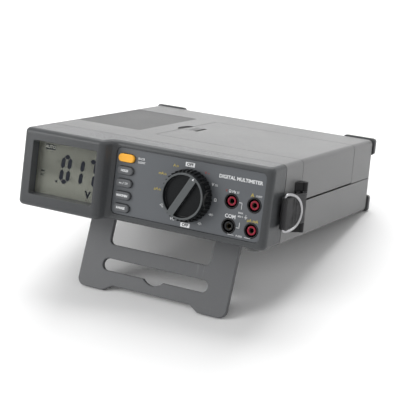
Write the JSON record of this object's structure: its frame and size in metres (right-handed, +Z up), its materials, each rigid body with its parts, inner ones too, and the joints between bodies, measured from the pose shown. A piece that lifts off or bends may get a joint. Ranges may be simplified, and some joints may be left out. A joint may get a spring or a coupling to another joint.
{
  "type": "bench multimeter",
  "caption": "Flat bench multimeter with a proud display housing, rotary selector, key column, shrouded input jacks, fold-out front stand, lidded lead store and side carry rings.",
  "frame": {"origin": "centre of the footprint, at the surface that the stand and the lower rear bumpers rest on", "axes": "+X across the meter to the user's right, -Y towards the user (the display and panel face -Y), +Z up; the case is tipped back on its stand"},
  "size_m": [0.279, 0.2642, 0.1538],
  "materials": {
    "case_plastic": "fine-textured moulded ABS, mid grey",
    "lid_plastic": "fine-textured moulded ABS, mid grey",
    "bezel_plastic": "smooth satin moulded ABS, dark grey",
    "stand_plastic": "fine-textured moulded ABS, dark grey",
    "panel_film": "printed satin polycarbonate overlay",
    "lens_clear": "clear acrylic window",
    "lcd_glass": "grey-green reflective liquid crystal panel",
    "inner_plastic": "black moulded ABS",
    "board_green": "glass-epoxy circuit board with solder mask",
    "key_grey": "matte moulded key cap",
    "key_orange": "matte moulded key cap, amber",
    "rubber_black": "dark grey rubber",
    "dial_plastic": "black moulded ABS with ribbed grip",
    "rotor_plastic": "natural acetal",
    "jack_black": "black polyamide",
    "jack_red": "red polyamide",
    "brass": "turned and plated",
    "steel": "zinc plated",
    "ring_chrome": "nickel plated wire",
    "fuse_ceramic": "ceramic tube with plated caps",
    "chip_epoxy": "black moulded epoxy",
    "cell_wrap": "printed wrap over a steel can",
    "webbing": "black woven nylon webbing",
    "anchor_plastic": "black moulded polyamide"
  },
  "bodies": {
    "case": {"front_bezel": "bezel_plastic", "control_panel": "panel_film", "display_lens": "lens_clear", "display_glass": "lcd_glass", "display_holder": "inner_plastic", "display_board": "board_green", "key_mat": "rubber_black", "key_board": "board_green", "jack_block": "jack_black", "volt_jack": "jack_red", "volt_contact": "brass", "amp_jack": "jack_red", "amp_contact": "brass", "common_jack": "jack_black", "common_contact": "brass", "milliamp_jack": "jack_red", "milliamp_contact": "brass", "main_board": "board_green", "board_screws": "steel", "fuses": "fuse_ceramic", "fuse_clips": "steel", "buzzer": "inner_plastic", "converter_chip": "chip_epoxy", "upper_case": "case_plastic", "lower_case": "case_plastic", "battery_door": "case_plastic", "door_screws": "steel", "battery_box": "inner_plastic", "batteries": "cell_wrap", "battery_contacts": "steel", "case_screws": "steel", "joint_ring": "inner_plastic", "top_pad": "rubber_black", "lead_store": "inner_plastic", "lid_hinge_pins": "steel", "stand_pins": "steel", "front_feet": "rubber_black", "lower_bumpers": "rubber_black", "upper_bumpers": "rubber_black", "right_strap_anchor": "anchor_plastic", "right_strap_pin": "steel", "left_strap_anchor": "anchor_plastic", "left_strap_pin": "steel"},
    "dial": {"selector_dial": "dial_plastic", "dial_spindle": "steel", "switch_rotor": "rotor_plastic"},
    "stand": {"tilt_stand": "stand_plastic"},
    "lid": {"store_lid": "lid_plastic"},
    "latch": {"lid_latch": "lid_plastic"},
    "right_tab": {"right_strap_tab": "webbing"},
    "left_tab": {"left_strap_tab": "webbing"},
    "right_carry_ring": {"right_ring": "ring_chrome"},
    "left_carry_ring": {"left_ring": "ring_chrome"},
    "range_key": {"range_button": "key_grey"},
    "max_min_key": {"max_min_button": "key_grey"},
    "function_key": {"function_button": "key_grey"},
    "hold_key": {"hold_button": "key_grey"},
    "backlight_key": {"backlight_button": "key_orange"}
  },
  "joints": [
    {"name": "stand_hinge", "type": "hinge", "parent": "case", "child": "stand", "pos_m": [0, -0.06929, 0.06803], "axis": [1, 0, 0], "range_deg": [0, 106.2]},
    {"name": "dial_turn", "type": "hinge", "parent": "case", "child": "dial", "pos_m": [0.0462, -0.10599, 0.11667], "axis": [0, 0.909, -0.4168], "continuous": true},
    {"name": "lid_hinge", "type": "hinge", "parent": "case", "child": "lid", "pos_m": [0.1232, 0.0109, 0.0745], "axis": [0, 0.9383, -0.3459], "range_deg": [0, 95]},
    {"name": "latch_slide", "type": "slide", "parent": "lid", "child": "latch", "axis": [1, 0, 0], "range_m": [0, 0.0028], "stiffness_N_per_m": 500, "springref_m": -0.002},
    {"name": "right_tab_swing", "type": "hinge", "parent": "case", "child": "right_tab", "pos_m": [0.1304, -0.05267, 0.09287], "axis": [0, 0.3459, 0.9383], "range_deg": [0, 60]},
    {"name": "left_tab_swing", "type": "hinge", "parent": "case", "child": "left_tab", "pos_m": [-0.1304, -0.05267, 0.09287], "axis": [0, -0.3459, -0.9383], "range_deg": [0, 60]},
    {"name": "right_ring_swing", "type": "hinge", "parent": "right_tab", "child": "right_carry_ring", "pos_m": [0.1304, -0.08908, 0.10629], "axis": [0, -0.3459, -0.9383], "range_deg": [0, 130]},
    {"name": "left_ring_swing", "type": "hinge", "parent": "left_tab", "child": "left_carry_ring", "pos_m": [-0.1304, -0.08908, 0.10629], "axis": [0, 0.3459, 0.9383], "range_deg": [0, 130]},
    {"name": "range_key_press", "type": "slide", "parent": "case", "child": "range_key", "axis": [0, 0.909, -0.4168], "range_m": [0, 0.0012], "stiffness_N_per_m": 300, "springref_m": -0.001},
    {"name": "max_min_key_press", "type": "slide", "parent": "case", "child": "max_min_key", "axis": [0, 0.909, -0.4168], "range_m": [0, 0.0012], "stiffness_N_per_m": 300, "springref_m": -0.001},
    {"name": "function_key_press", "type": "slide", "parent": "case", "child": "function_key", "axis": [0, 0.909, -0.4168], "range_m": [0, 0.0012], "stiffness_N_per_m": 300, "springref_m": -0.001},
    {"name": "hold_key_press", "type": "slide", "parent": "case", "child": "hold_key", "axis": [0, 0.909, -0.4168], "range_m": [0, 0.0012], "stiffness_N_per_m": 300, "springref_m": -0.001},
    {"name": "backlight_key_press", "type": "slide", "parent": "case", "child": "backlight_key", "axis": [0, 0.909, -0.4168], "range_m": [0, 0.0012], "stiffness_N_per_m": 300, "springref_m": -0.001}
  ]
}
